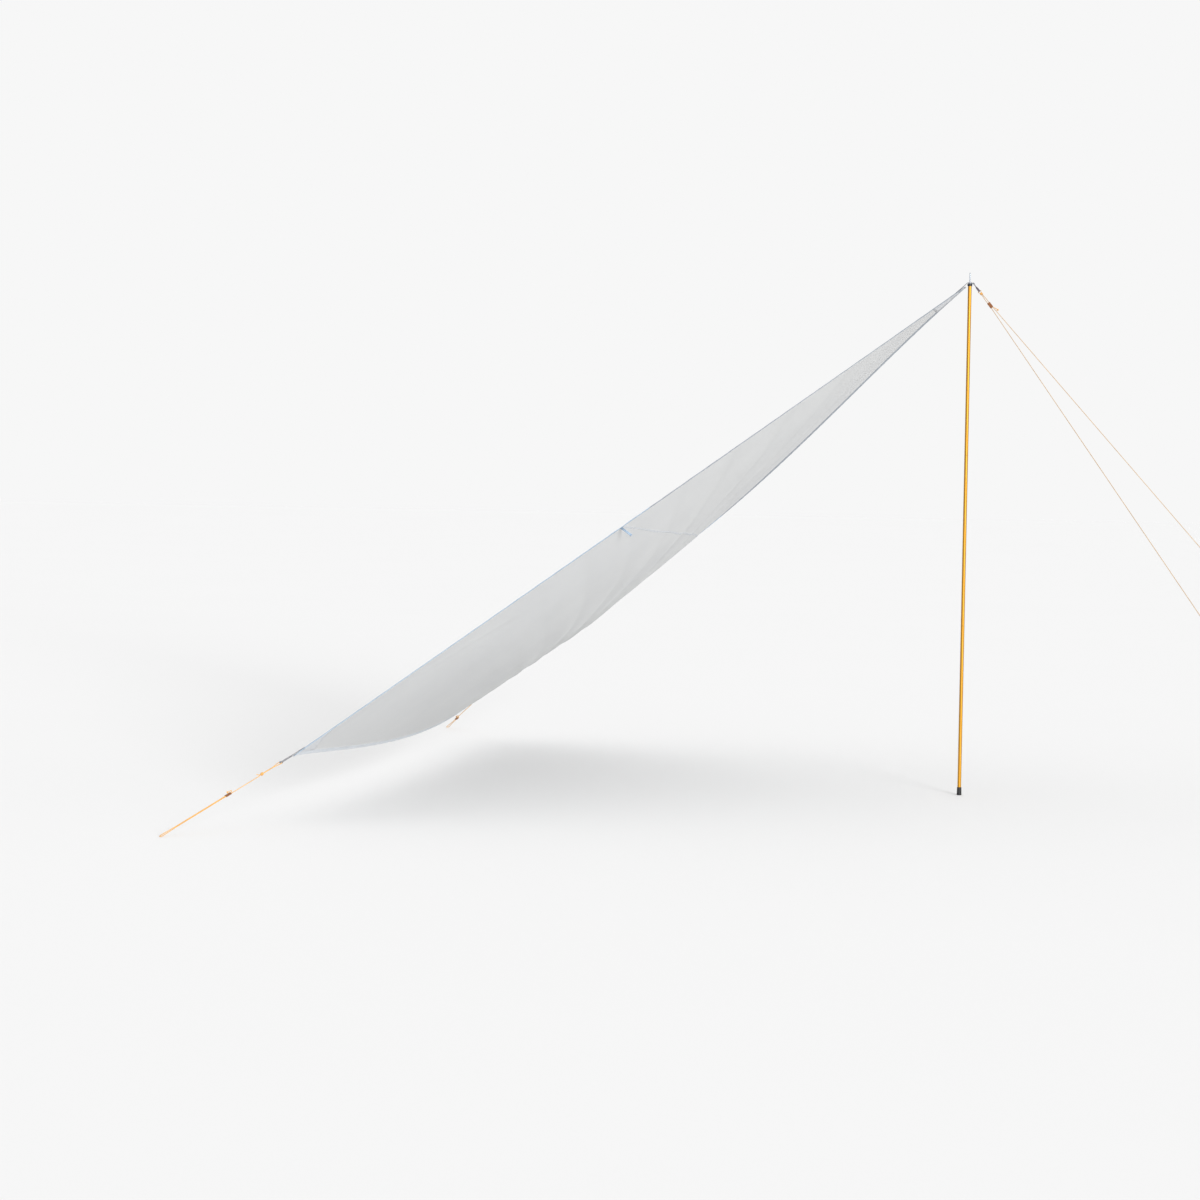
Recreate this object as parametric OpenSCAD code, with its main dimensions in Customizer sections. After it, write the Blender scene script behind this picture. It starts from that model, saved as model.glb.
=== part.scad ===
// Triangular wing tarp on one sectional pole, pitched: one corner is on the
// pole's spike, two corners are guyed low, and a forked guyline holds the peak.
// Millimetres, +Z up. The origin is the middle of the pole's foot, on the ground.
// The canopy runs towards -X. Near means the -Y side, far the +Y side.

/* [Pole] */
// Height of the shoulder under the spike
pole_h = 2246; // [2240:1:2247]
// Outer diameter of the tubes
tube_od = 16; // [15.5:0.5:17]
// Wall of the tubes
tube_wall = 1; // [0.8:0.1:1.2]
// Length of each joint ferrule
ferrule_l = 120; // [100:5:140]
// Height of the rubber foot
foot_h = 35; // [30:1:45]
// Diameter of the steel spike
spike_d = 5; // [4:0.5:5.5]
// Height of the spike above the shoulder
spike_h = 50; // [40:1:60]

/* [Canopy] */
// Height of the canopy's plane at the pole
apex_z = 2252; // [2250:1:2254]
// How far the low edge is behind the pole
corner_x = 2515; // [2500:5:2530]
// How far each low corner is to the side
corner_y = 1845; // [1830:5:1860]
// Height of the low corners
corner_z = 272; // [265:1:280]
// Sag at the middle of the far edge
far_sag = 82; // [0:2:90]
// Sag of the low edge
low_sag = 94; // [0:2:100]
// Extra belly in the middle of the cloth
belly = 100; // [0:5:110]
// Width of the hem bindings
hem_w = 18; // [14:1:22]

/* [Guylines] */
// How far the low pegs are behind the pole
peg_x = 2877; // [2860:1:2890]
// How far the low pegs are to the side
peg_y = 2413; // [2400:1:2425]
// Distance of the peak pegs from the pole
fork_r = 2300; // [2250:10:2350]
// Heading of the near peak peg
near_heading = -45; // [-50:1:-40]
// Heading of the far peak peg
far_heading = 30; // [25:1:35]
// Cord diameter
cord_d = 3; // [2.5:0.1:3]
// Place of the near tensioner along its line
near_at = 349; // [300:1:380]
// Place of the far tensioner along its line
far_at = 549; // [500:1:560]

/* [Hidden] */
$fn = 48;

gold = [0.80, 0.60, 0.22];
black = [0.08, 0.08, 0.09];
steel = [0.78, 0.80, 0.82];
cloth = [0.85, 0.86, 0.86];
binding = [0.70, 0.75, 0.79];
webbing = [0.38, 0.37, 0.40];
cord_tan = [0.78, 0.50, 0.22];
dark = [0.27, 0.22, 0.20];

bore_d = tube_od - 2 * tube_wall;
joint_1 = pole_h / 3;
joint_2 = 2 * pole_h / 3;
butt_gap = 0.2;
slip = 0.1;
flange_t = 9;
foot_floor = 8;
plug_l = 30;

// Cord routes: points along a line, to its side and above it, in mm.
cord_r = cord_d / 2;
peg_z = 1;
// From its end, through the knot, round the corner strap's ring and back through the knot
EYE = [
    [199, -4.5, 9], [194, -3.2, 4], [184, -1.7, 0], [112, -1.7, 0], [94, -6.5, 0], [81, -10.8, 0],
    [74.5, -9.8, 0], [71.8, -6.6, 0], [71.8, 6.6, 0], [74.5, 9.8, 0], [81, 10.8, 0], [94, 6.5, 0],
    [112, 1.7, 0], [186, 1.7, 0], [202, 3.6, 0]
];
// Round the peg, counted back from it
PEG_TURN = [
    [-81, 3.6, 0], [-15, 7.4, 0], [-5, 5.6, 0], [-2, 0, 0],
    [-5, -5.6, 0], [-15, -7.4, 0], [-81, -3.6, 0]
];
// Out of the tensioner's upper end and back over it, counted from that end
TAIL = [
    [0, -3.6, 0], [-6, -3.6, 0.6], [-10.5, -3, 4], [-9, -2, 8],
    [-3, -1, 9.4], [6, 0, 9.4], [17, 1, 11]
];
// From the guy strap's ring through the peak knot and tensioner, on the upper side
FORK = [
    [41.8, 0, 0], [41.8, 0, 6], [44.5, 0, 7.2], [48, 0, 5.4], [52, 0, 1.7],
    [66, 0, 1.7], [84, 0, 3.6], [134, 0, 3.6], [141, 0, 4.4]
];
// The loop at a leg's peg, counted back from it
LEG_LOOP = [
    [-150, 0, 0], [-116, 1.7, 0], [-96, 1.7, 0], [-16, 8.5, 0], [-5, 6, 0], [-2, 0, 0],
    [-5, -6, 0], [-16, -8.5, 0], [-96, -1.7, 0], [-116, -1.7, 0]
];
// The loose end on the peak tensioner
LOOSE_END = [[120, 1.6, 0], [128, 2.8, 0], [135, 4.6, 3], [142, 5.2, 8], [151, 5, 12], [161, 4, 14]];

eye_knot_at = 176;
strap_ring_at = 70;
peak_knot_at = 57;
guy_ring_at = 40;
leg_knot_back = 106;
tensioner_l = 26;
peak_tensioner_at = 108;
strand_y = 3.6;
link_reach = 16;
link_z = pole_h + 1.9;

near_corner = [-corner_x, -corner_y, corner_z];
far_corner = [-corner_x, corner_y, corner_z];
near_peg = [-peg_x, -peg_y, peg_z];
far_peg = [-peg_x, peg_y, peg_z];
near_leg_peg = [fork_r * cos(near_heading), fork_r * sin(near_heading), peg_z];
far_leg_peg = [fork_r * cos(far_heading), fork_r * sin(far_heading), peg_z];
fork_aim = (near_leg_peg + far_leg_peg) / 2;
fork_heading = atan2(fork_aim.y, fork_aim.x);
fork_start = [link_reach * cos(fork_heading), link_reach * sin(fork_heading), link_z];

// ---- Lines: a frame along a line, its side horizontal ----

function ahead(a, b) = (b - a) / norm(b - a);
function side(a, b) = let (d = ahead(a, b)) [-d.y, d.x, 0] / norm([d.x, d.y]);
function above(a, b) = cross(ahead(a, b), side(a, b));
function on(a, b, origin, p) = origin + ahead(a, b) * p.x + side(a, b) * p.y + above(a, b) * p.z;
function along(a, b, route) = [for (p = route) on(a, b, a, p)];
function back_from(a, b, route) = [for (p = route) on(a, b, b, p)];
function moved(route, x) = [for (p = route) [p.x + x, p.y, p.z]];
function flipped(route) = [for (p = route) [p.x, p.y, -p.z]];

module line_frame(a, b, at = 0) {
    d = ahead(a, b);
    translate(a + d * at)
        rotate([0, asin(-d.z), atan2(d.y, d.x)])
            children();
}

// A tube of eight sides through the points of a path
module tube(path, r) {
    n = len(path);
    sides = 8;
    function way(i) = ahead(path[max(i - 1, 0)], path[min(i + 1, n - 1)]);
    function across(i) = let (w = way(i), s = cross([0.05, 0.02, 1], w)) s / norm(s);
    rings = [for (i = [0:n - 1], k = [0:sides - 1])
        let (a = 360 * k / sides, s = across(i), u = cross(way(i), s))
        path[i] + r * (cos(a) * s + sin(a) * u)];
    walls = [for (i = [0:n - 2], k = [0:sides - 1])
        let (k2 = (k + 1) % sides, p = i * sides)
        each [[p + k, p + sides + k, p + k2], [p + k2, p + sides + k, p + sides + k2]]];
    start = [for (k = [0:sides - 1]) k];
    end = [for (k = [sides - 1:-1:0]) (n - 1) * sides + k];
    polyhedron(rings, concat([start], walls, [end]));
}

// Turns of cord round a line, which they leave clear
module turns(count, r_in, wire_r) {
    pitch = 1.85 * wire_r;
    rotate([0, 90, 0])
        rotate_extrude($fn = 24)
            for (i = [0:count - 1])
                translate([r_in + wire_r, (i - (count - 1) / 2) * pitch])
                    circle(wire_r, $fn = 16);
}

module knot() turns(3, 3.3, cord_r);
module stopper() turns(2, 1.7, cord_r);

// Slider with a bore for each of two strands, along +X from its upper end
module tensioner() {
    scoop_r = 14;
    difference() {
        rotate([90, 0, 90])
            linear_extrude(tensioner_l) {
                square([2 * strand_y, 7.4], center = true);
                for (y = [-strand_y, strand_y])
                    translate([y, 0])
                        circle(3.7);
            }
        for (y = [-strand_y, strand_y])
            translate([-1, y, 0])
                rotate([0, 90, 0])
                    cylinder(r = cord_r + 0.4, h = tensioner_l + 2);
        for (z = [-1, 1])
            translate([tensioner_l / 2, 0, z * (scoop_r + 2.6)])
                rotate([90, 0, 0])
                    cylinder(r = scoop_r, h = 20, center = true);
    }
}

// Folded webbing with a ring for the cord: the fold's axis is across the line
module strap_ring(at, width, bore_r, wall) {
    translate([at, 0, 0])
        rotate([90, 0, 0])
            difference() {
                cylinder(r = bore_r + wall, h = width, center = true);
                cylinder(r = bore_r, h = width + 2, center = true);
            }
}

// ---- Pole ----

module pipe(z0, z1) {
    translate([0, 0, z0])
        difference() {
            cylinder(d = tube_od, h = z1 - z0);
            translate([0, 0, -1])
                cylinder(d = bore_d, h = z1 - z0 + 2);
        }
}

// Pressed into the tube below the joint, slipping into the one above
module ferrule(z) {
    half = ferrule_l / 2;
    r = bore_d / 2;
    bore_r = 4.5;
    chamfer = 1;
    translate([0, 0, z])
        rotate_extrude()
            polygon([
                [bore_r, -half], [r, -half], [r, 0], [r - slip, 0],
                [r - slip, half - chamfer], [r - slip - chamfer, half], [bore_r, half]
            ]);
}

module foot_cap() {
    r = tube_od / 2;
    color(black)
        rotate_extrude()
            polygon([
                [0, 0], [r + 1.3, 0], [r + 2.5, 1.5], [r + 2.4, 9], [r + 1.8, 10], [r + 2.3, 11],
                [r + 2.2, 17], [r + 1.6, 18], [r + 2.1, 19], [r + 1.7, foot_h - 1],
                [r + 0.8, foot_h], [r, foot_h], [r, foot_floor], [0, foot_floor]
            ]);
}

module lower_tube() color(gold) pipe(foot_floor, joint_1);
module middle_tube() color(gold) pipe(joint_1 + butt_gap, joint_2);
module upper_tube() color(gold) pipe(joint_2 + butt_gap, pole_h - flange_t);
module lower_ferrule() color(steel) ferrule(joint_1);
module upper_ferrule() color(steel) ferrule(joint_2);

anchor_z = 20;
anchor_t = 5;
cord_top_z = pole_h - flange_t - 17;
spike_root = pole_h - 12;
collar_r = spike_d / 2 + 0.4;
hole_d = spike_d + 1.6;

module shock_anchor() {
    color(black)
        translate([0, 0, anchor_z])
            difference() {
                cylinder(d = bore_d, h = anchor_t);
                translate([0, 0, -1])
                    cylinder(d = cord_d + 0.8, h = anchor_t + 2);
            }
}

module shock_cord() {
    end_knot_d = 7;
    color("white") {
        translate([0, 0, anchor_z - end_knot_d / 2])
            cylinder(d = cord_d, h = cord_top_z - anchor_z + end_knot_d / 2);
        for (z = [anchor_z - end_knot_d / 2, cord_top_z])
            translate([0, 0, z])
                sphere(d = end_knot_d);
    }
}

// Holds the shock cord's upper knot below and the spike above
module top_plug() {
    r = bore_d / 2;
    bottom = pole_h - flange_t - plug_l;
    flange_r = tube_od / 2 + 2.5;
    chamber_r = 4;
    hole_r = cord_d / 2 + 0.4;
    color(black)
        rotate_extrude()
            polygon([
                [hole_r, bottom], [r, bottom], [r, pole_h - flange_t], [flange_r, pole_h - flange_t],
                [flange_r, pole_h - 1], [flange_r - 1, pole_h], [collar_r, pole_h],
                [collar_r, spike_root], [0, spike_root], [0, cord_top_z + 4.5],
                [chamber_r, cord_top_z + 4.5], [chamber_r, cord_top_z - 4.5],
                [hole_r, cord_top_z - 4.5]
            ]);
}

// Thicker where it is set in the plug and carries the hardware
module spike() {
    r = spike_d / 2;
    collar_top = pole_h + 9;
    tip = pole_h + spike_h;
    color(steel)
        rotate_extrude()
            polygon([
                [0, spike_root], [collar_r, spike_root], [collar_r, collar_top], [r, collar_top],
                [r, tip - 5], [r - 0.6, tip - 2], [r - 1.6, tip], [0, tip]
            ]);
}

// ---- Hardware on the spike ----

// Flat steel link: a hole for the spike and a slot for the strap
module spike_link() {
    t = 3;
    color(steel)
        translate([0, 0, link_z - t / 2])
            rotate([0, 0, fork_heading])
                linear_extrude(t)
                    difference() {
                        union() {
                            circle(r = 8);
                            polygon([[0, -8], [link_reach + 2, -10], [link_reach + 2, 10], [0, 8]]);
                        }
                        circle(d = hole_d);
                        translate([link_reach - 6.6, -7.6])
                            square([4.6, 15.2]);
                    }
}

// It has a quarter turn between its ring on the link and its ring for the cord
module guy_strap() {
    width = 9;
    wall = 1.4;
    link_bore_r = 2.8;
    cord_bore_r = 3.7;
    middle = 19;
    color(webbing)
        line_frame(fork_start, fork_aim) {
            strap_ring(0, width, link_bore_r, wall);
            rotate([90, 0, 0])
                strap_ring(guy_ring_at, width, cord_bore_r, wall);
            translate([link_bore_r + 0.4, -width / 2, -wall])
                cube([middle - link_bore_r, width, 2 * wall]);
            translate([middle - 2, -wall, -width / 2])
                cube([guy_ring_at - cord_bore_r - 0.4 - middle + 2, 2 * wall, width]);
        }
}

// Webbing from the cloth's peak up to the spike, with a round eye
peak_pad_z = pole_h + 4.4;
module peak_strap() {
    width = 22;
    wall = 2;
    eye_r = 11;
    grommet_r = 5.4;
    pad_t = 2.4;
    sewn_from = 46;
    sewn_to = 75;
    over = 1.7;
    function beside(reach, off) =
        let (p = flat_point(reach / fall, 0.5) + upward * off) [p.x, p.z];
    color(webbing) {
        difference() {
            translate([0, 0, peak_pad_z])
                cylinder(r = eye_r, h = pad_t);
            translate([0, 0, peak_pad_z - 1])
                cylinder(r = grommet_r, h = pad_t + 2);
        }
        rotate([90, 0, 0])
            linear_extrude(width, center = true)
                polygon([
                    [-6.5, peak_pad_z], [-9, peak_pad_z], beside(sewn_from, over), beside(sewn_to, over),
                    beside(sewn_to, over + wall), beside(sewn_from, over + wall),
                    [-10.2, peak_pad_z + wall], [-6.5, peak_pad_z + wall]
                ]);
    }
}

module peak_grommet() {
    color(steel)
        translate([0, 0, peak_pad_z - 0.6])
            difference() {
                union() {
                    cylinder(r = 5.4, h = 3.6);
                    cylinder(r = 8, h = 0.6);
                    translate([0, 0, 3])
                        cylinder(r = 8, h = 0.6);
                }
                translate([0, 0, -1])
                    cylinder(d = hole_d, h = 6);
            }
}

module peak_knot() color(cord_tan) line_frame(fork_start, fork_aim, peak_knot_at) knot();
module peak_tensioner() {
    color(dark)
        line_frame(fork_start, fork_aim, peak_tensioner_at)
            rotate([90, 0, 0])
                tensioner();
}
module peak_tail() color(cord_tan) tube(along(fork_start, fork_aim, LOOSE_END), cord_r);
module peak_tail_knot() {
    color(cord_tan)
        line_frame(fork_start, fork_aim, 157)
            translate([0, 4.4, 13.2])
                stopper();
}

// ---- Canopy: a sheet over (u, v), u down from the peak, v from near to far ----

low_edge = 2 * corner_y;
fall = norm([corner_x, 0, apex_z - corner_z]);
upward = [corner_z - apex_z, 0, corner_x] / fall;
u_peak = 48 / fall;
u_seam = 0.535;
seam_half = 5 / fall;
u_hem = 1 - hem_w / fall;
v_corner = 30 / low_edge;

columns = 12;
low_start = 1.3;
low_end = 1.25;
low_peak = low_start / (low_start + low_end);

function hem_v(u) = hem_w / (u * low_edge);
function low_shape(v) = pow(v, low_start) * pow(max(1 - v, 0), low_end);
function sag(u, v) =
    far_sag * pow(max(sin(180 * u), 0), 1.7) * pow(v, 3.5)
    + low_sag * low_shape(v) / low_shape(low_peak) * pow(u, 2.6)
    + belly * 27 * (1 - u) * u * u * v * (1 - v);
function flat_point(u, v) = [-corner_x * u, corner_y * u * (2 * v - 1), apex_z + (corner_z - apex_z) * u];
function cloth_point(u, v, off) = flat_point(u, v) + upward * (off - sag(u, v));
function steps(a, b, n) = [for (i = [0:n]) a + (b - a) * i / n];

upper_rows = steps(u_peak, u_seam - seam_half, 9);
lower_rows = steps(u_seam + seam_half, u_hem, 9);

// A patch of the sheet between two v limits on each row, from lo to hi off its middle
module patch(rows, v_lo, v_hi, columns, lo, hi) {
    m = len(rows);
    n = columns + 1;
    function id(i, j, k) = k * m * n + i * n + j;
    points = [for (off = [lo, hi], u = rows, j = [0:columns])
        cloth_point(u, v_lo(u) + (v_hi(u) - v_lo(u)) * j / columns, off)];
    function quad(a, b, c, d) = [[a, c, b], [a, d, c]];
    top = [for (i = [0:m - 2], j = [0:n - 2])
        each quad(id(i, j, 1), id(i, j + 1, 1), id(i + 1, j + 1, 1), id(i + 1, j, 1))];
    bottom = [for (i = [0:m - 2], j = [0:n - 2])
        each quad(id(i, j, 0), id(i + 1, j, 0), id(i + 1, j + 1, 0), id(i, j + 1, 0))];
    ends = [for (j = [0:n - 2])
        each concat(
            quad(id(0, j, 0), id(0, j + 1, 0), id(0, j + 1, 1), id(0, j, 1)),
            quad(id(m - 1, j, 1), id(m - 1, j + 1, 1), id(m - 1, j + 1, 0), id(m - 1, j, 0)))];
    flanks = [for (i = [0:m - 2])
        each concat(
            quad(id(i, 0, 1), id(i + 1, 0, 1), id(i + 1, 0, 0), id(i, 0, 0)),
            quad(id(i, n - 1, 0), id(i + 1, n - 1, 0), id(i + 1, n - 1, 1), id(i, n - 1, 1)))];
    polyhedron(points, concat(top, bottom, ends, flanks));
}

cloth_half = 0.6;
hem_half = 1.2;
patch_t = 0.6;
to_near_hem = function (u) hem_v(u);
to_far_hem = function (u) 1 - hem_v(u);
function at_v(v) = function (u) v;

module panel(rows) patch(rows, to_near_hem, to_far_hem, columns, -cloth_half, cloth_half);
module under_patch(rows, v_lo, v_hi, n) patch(rows, v_lo, v_hi, n, -cloth_half - patch_t, -cloth_half);

module upper_panel() color(cloth) panel(upper_rows);
module lower_panel() color(cloth) panel(lower_rows);
module panel_seam() {
    color(cloth)
        patch([u_seam - seam_half, u_seam + seam_half], to_near_hem, to_far_hem, columns, -0.9, 0.9);
}
module near_hem() {
    color(binding)
        patch(concat(upper_rows, lower_rows), at_v(0), to_near_hem, 1, -hem_half, hem_half);
}
module far_hem() {
    color(binding)
        patch(concat(upper_rows, lower_rows), to_far_hem, at_v(1), 1, -hem_half, hem_half);
}
module low_hem() {
    color(binding)
        patch([u_hem, 1], at_v(v_corner), at_v(1 - v_corner), 18, -hem_half, hem_half);
}

// A patch covers whole cells of its panel's grid, so that the two lie face to face
peak_rows = [upper_rows[0], upper_rows[1]];
corner_rows = [lower_rows[8], lower_rows[9]];
first_column = function (u) to_near_hem(u) + (1 - 2 * hem_v(u)) / columns;
last_column = function (u) 1 - first_column(u);
module peak_patch() color(binding) under_patch(peak_rows, to_near_hem, to_far_hem, columns);
module near_patch() color(binding) under_patch(corner_rows, to_near_hem, first_column, 1);
module far_patch() color(binding) under_patch(corner_rows, last_column, to_far_hem, 1);

// A loop of tape sewn under the middle of a side
module edge_loop(u, v, off, heading, dip, long) {
    width = 10;
    wall = 1.2;
    bore_r = 2.5;
    color(binding)
        translate(cloth_point(u, v, off))
            rotate([0, dip, heading])
                translate([-2, 0, 0]) {
                    translate([0, -width / 2, -wall])
                        cube([long - bore_r - 0.6, width, 2 * wall]);
                    strap_ring(long, width, bore_r, wall);
                }
}

module near_edge_loop() edge_loop(u_seam + 0.007, 0.004, -hem_half - 1, 0, 35, 50);
module far_edge_loop() edge_loop(u_seam + 0.018, 0.994, -hem_half - 1, 180, 44, 32);

// ---- Low corners ----

// Webbing that wraps the cloth's corner and ends in a ring for the cord
module corner_strap(corner, peg, v_lo, v_hi) {
    width = 12;
    wall = 1.3;
    bore_r = 3.4;
    color(webbing) {
        patch([u_hem, 1], v_lo, v_hi, 1, -hem_half - 0.5, hem_half + 0.5);
        line_frame(corner, peg) {
            translate([-8, -width / 2, -wall])
                cube([strap_ring_at - bore_r - 0.8 + 8, width, 2 * wall]);
            strap_ring(strap_ring_at, width, bore_r, wall);
        }
    }
}

function low_route(corner, peg, t) = concat(
    along(corner, peg, EYE),
    back_from(corner, peg, PEG_TURN),
    along(corner, peg, moved(TAIL, t)));

module tail_knot(corner, peg, t) {
    color(cord_tan)
        line_frame(corner, peg, t + 13)
            translate([0, 0.7, 10.4])
                stopper();
}

module near_strap() corner_strap(near_corner, near_peg, at_v(0), at_v(v_corner));
module far_strap() corner_strap(far_corner, far_peg, at_v(1 - v_corner), at_v(1));
module near_guyline() color(cord_tan) tube(low_route(near_corner, near_peg, near_at), cord_r);
module far_guyline() color(cord_tan) tube(low_route(far_corner, far_peg, far_at), cord_r);
module near_knot() color(cord_tan) line_frame(near_corner, near_peg, eye_knot_at) knot();
module far_knot() color(cord_tan) line_frame(far_corner, far_peg, eye_knot_at) knot();
module near_tensioner() color(dark) line_frame(near_corner, near_peg, near_at) tensioner();
module far_tensioner() color(dark) line_frame(far_corner, far_peg, far_at) tensioner();
module near_tail_knot() tail_knot(near_corner, near_peg, near_at);
module far_tail_knot() tail_knot(far_corner, far_peg, far_at);

// ---- Peak legs ----

function leg_route(fork, peg) =
    let (start = along(fork_start, fork_aim, fork), turn = start[len(start) - 1])
    concat(start, back_from(turn, peg, LEG_LOOP));

module leg(fork, peg) color(cord_tan) tube(leg_route(fork, peg), cord_r);

module leg_knot(fork, peg) {
    start = along(fork_start, fork_aim, fork);
    turn = start[len(start) - 1];
    color(cord_tan)
        line_frame(turn, peg, norm(peg - turn) - leg_knot_back)
            knot();
}

module far_leg() leg(FORK, far_leg_peg);
module near_leg() leg(flipped(FORK), near_leg_peg);
module far_leg_knot() leg_knot(FORK, far_leg_peg);
module near_leg_knot() leg_knot(flipped(FORK), near_leg_peg);

foot_cap();
lower_tube();
lower_ferrule();
shock_anchor();
shock_cord();
middle_tube();
upper_ferrule();
upper_tube();
top_plug();
spike();
spike_link();
guy_strap();
peak_strap();
peak_grommet();
peak_knot();
peak_tensioner();
peak_tail();
peak_tail_knot();
upper_panel();
lower_panel();
panel_seam();
near_hem();
far_hem();
low_hem();
peak_patch();
near_patch();
far_patch();
near_edge_loop();
far_edge_loop();
near_strap();
near_guyline();
near_knot();
near_tensioner();
near_tail_knot();
far_strap();
far_guyline();
far_knot();
far_tensioner();
far_tail_knot();
near_leg();
near_leg_knot();
far_leg();
far_leg_knot();
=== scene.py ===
"""A triangular wing tarp pitched on one sectional pole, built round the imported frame.

Metres, +Z up. The origin is the middle of the pole's foot, the canopy falls away towards -X, near means
the -Y side and far the +Y side. The cloth, tapes, webbing and cords are made here over their CAD solids,
and the pole, slider and metal nodes stay and get their materials.
"""

import math

import bpy
import numpy as np
from mathutils import Matrix, Vector


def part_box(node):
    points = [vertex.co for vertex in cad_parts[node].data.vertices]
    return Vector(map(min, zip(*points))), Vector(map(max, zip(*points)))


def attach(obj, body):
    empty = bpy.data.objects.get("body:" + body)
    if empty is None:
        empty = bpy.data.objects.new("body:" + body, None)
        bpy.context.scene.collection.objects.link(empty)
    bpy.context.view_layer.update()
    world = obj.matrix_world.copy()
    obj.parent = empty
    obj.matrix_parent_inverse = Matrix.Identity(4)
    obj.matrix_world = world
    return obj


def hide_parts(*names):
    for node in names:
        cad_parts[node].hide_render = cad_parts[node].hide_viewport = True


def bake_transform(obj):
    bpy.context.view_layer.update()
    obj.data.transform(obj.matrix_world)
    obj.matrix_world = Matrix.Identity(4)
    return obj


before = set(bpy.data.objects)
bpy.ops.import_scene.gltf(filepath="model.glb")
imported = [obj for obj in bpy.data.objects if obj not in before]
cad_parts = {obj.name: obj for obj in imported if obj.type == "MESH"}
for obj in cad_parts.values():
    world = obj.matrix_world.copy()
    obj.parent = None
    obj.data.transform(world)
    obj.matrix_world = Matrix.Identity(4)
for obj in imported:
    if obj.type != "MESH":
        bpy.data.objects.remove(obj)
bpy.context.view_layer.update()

MM = 0.001

# ---- Camera ----

CAMERA_AT = (0.799, -13.488, 1.493)
CAMERA_YAW = 10.18
CAMERA_PITCH = 2.8
CAMERA_ROLL = 0.88
CAMERA_LENS = 91.6


def make_camera():
    """A camera that looks along +Y, turned left by the yaw, down by the pitch, and rolled."""
    yaw = Matrix.Rotation(math.radians(CAMERA_YAW), 4, "Z")
    pitch = Matrix.Rotation(math.radians(90 - CAMERA_PITCH), 4, "X")
    roll = Matrix.Rotation(math.radians(CAMERA_ROLL), 4, "Z")
    data = bpy.data.cameras.new("camera")
    data.lens = CAMERA_LENS
    data.sensor_width = 36
    camera = bpy.data.objects.new("camera", data)
    camera.matrix_world = Matrix.Translation(CAMERA_AT) @ yaw @ pitch @ roll
    bpy.context.scene.collection.objects.link(camera)
    bpy.context.scene.camera = camera


make_camera()

# ---- Where things are: the CAD's driving sizes, in metres ----

POLE_H = 2.246
APEX_Z = 2.252
CORNER_X = 2.515
CORNER_Y = 1.845
CORNER_Z = 0.272
PEG_X = 2.877
PEG_Y = 2.413
PEG_Z = 0.001
FORK_R = 2.3
NEAR_HEADING = math.radians(-45)
FAR_HEADING = math.radians(30)
LINK_REACH = 0.016
LINK_Z = POLE_H + 0.0019
CORD_D = 0.003
NEAR_AT = 349
FAR_AT = 549

near_corner = np.array([-CORNER_X, -CORNER_Y, CORNER_Z])
far_corner = np.array([-CORNER_X, CORNER_Y, CORNER_Z])
near_peg = np.array([-PEG_X, -PEG_Y, PEG_Z])
far_peg = np.array([-PEG_X, PEG_Y, PEG_Z])
near_leg_peg = np.array([FORK_R * math.cos(NEAR_HEADING), FORK_R * math.sin(NEAR_HEADING), PEG_Z])
far_leg_peg = np.array([FORK_R * math.cos(FAR_HEADING), FORK_R * math.sin(FAR_HEADING), PEG_Z])
fork_aim = (near_leg_peg + far_leg_peg) / 2
fork_heading = math.atan2(fork_aim[1], fork_aim[0])
fork_start = np.array([LINK_REACH * math.cos(fork_heading), LINK_REACH * math.sin(fork_heading), LINK_Z])

# Cord routes, as in the CAD: millimetres along a line, to its side and above it.
EYE = [
    (199, -4.5, 9), (194, -3.2, 4), (184, -1.7, 0), (112, -1.7, 0), (94, -6.5, 0), (81, -10.8, 0),
    (74.5, -9.8, 0), (71.8, -6.6, 0), (71.8, 6.6, 0), (74.5, 9.8, 0), (81, 10.8, 0), (94, 6.5, 0),
    (112, 1.7, 0), (186, 1.7, 0), (202, 3.6, 0),
]
PEG_TURN = [
    (-81, 3.6, 0), (-15, 7.4, 0), (-5, 5.6, 0), (-2, 0, 0),
    (-5, -5.6, 0), (-15, -7.4, 0), (-81, -3.6, 0),
]
TAIL = [
    (0, -3.6, 0), (-6, -3.6, 0.6), (-10.5, -3, 4), (-9, -2, 8),
    (-3, -1, 9.4), (6, 0, 9.4), (17, 1, 11),
]
FORK = [
    (41.8, 0, 0), (41.8, 0, 6), (44.5, 0, 7.2), (48, 0, 5.4), (52, 0, 1.7),
    (66, 0, 1.7), (84, 0, 3.6), (134, 0, 3.6), (141, 0, 4.4),
]
LEG_LOOP = [
    (-150, 0, 0), (-116, 1.7, 0), (-96, 1.7, 0), (-16, 8.5, 0), (-5, 6, 0), (-2, 0, 0),
    (-5, -6, 0), (-16, -8.5, 0), (-96, -1.7, 0), (-116, -1.7, 0),
]
LOOSE_END = [(120, 1.6, 0), (128, 2.8, 0), (135, 4.6, 3), (142, 5.2, 8), (151, 5, 12), (161, 4, 14)]
EYE_KNOT_AT = 176
STRAP_RING_AT = 70
GUY_RING_AT = 40
PEAK_KNOT_AT = 57
LEG_KNOT_BACK = 106


class Line:
    """A frame along a line: millimetres along it, to its level side and above it."""

    def __init__(self, start, end):
        self.start = np.array(start, float)
        self.length = float(np.linalg.norm(np.array(end) - self.start))
        self.ahead = (np.array(end) - self.start) / self.length
        level = np.array([-self.ahead[1], self.ahead[0], 0])
        self.side = level / np.linalg.norm(level)
        self.above = np.cross(self.ahead, self.side)

    def at(self, route, from_end=False):
        origin = self.start + self.ahead * self.length * from_end
        axes = np.array([self.ahead, self.side, self.above])
        return origin + np.array(route, float) * MM @ axes


near_line = Line(near_corner, near_peg)
far_line = Line(far_corner, far_peg)
fork_line = Line(fork_start, fork_aim)


def flipped(route):
    return [(x, y, -z) for x, y, z in route]


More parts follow.
